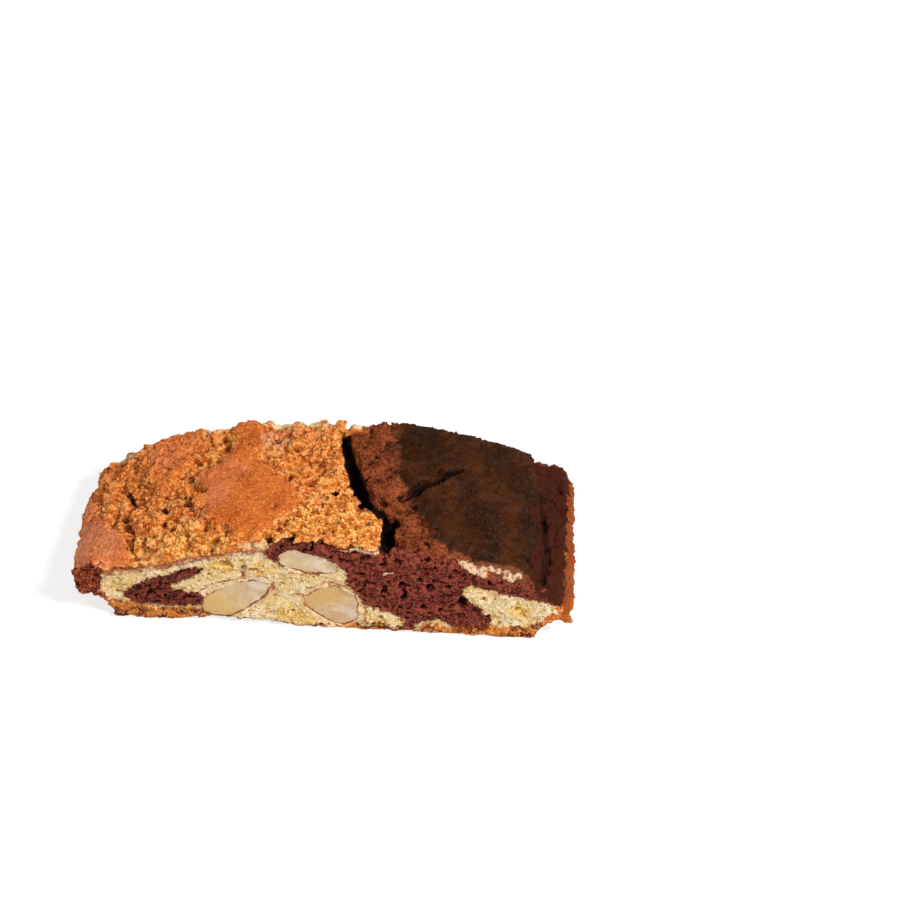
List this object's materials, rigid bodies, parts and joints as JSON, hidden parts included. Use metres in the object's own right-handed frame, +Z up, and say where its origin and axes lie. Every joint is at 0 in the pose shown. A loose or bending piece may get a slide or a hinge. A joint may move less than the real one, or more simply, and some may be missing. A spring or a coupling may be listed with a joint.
{
  "type": "almond biscuit",
  "caption": "Thick slice of a twice-baked loaf, marbled from plain and cocoa dough, with a cracked domed crust, a flat base and almonds cut through in both faces.",
  "frame": {"origin": "middle of the biscuit's box, on the surface that its flat base lies on", "axes": "+X along the length, with the cocoa end at +X; +Y through the thickness, with the cut face that the picture shows at -Y; +Z up, towards the domed crust"},
  "size_m": [0.1036, 0.0344, 0.0271],
  "materials": {
    "baked_dough": "dry open crumb in marbled plain and cocoa dough, with a matt browned crust",
    "almond": "ivory cut kernel inside a thin red-brown skin"
  },
  "bodies": {
    "root": {"biscuit_dough": "baked_dough", "almond_front_top": "almond", "almond_front_left": "almond", "almond_front_low": "almond", "almond_back_right": "almond", "almond_back_middle": "almond", "almond_back_left": "almond"}
  },
  "joints": []
}
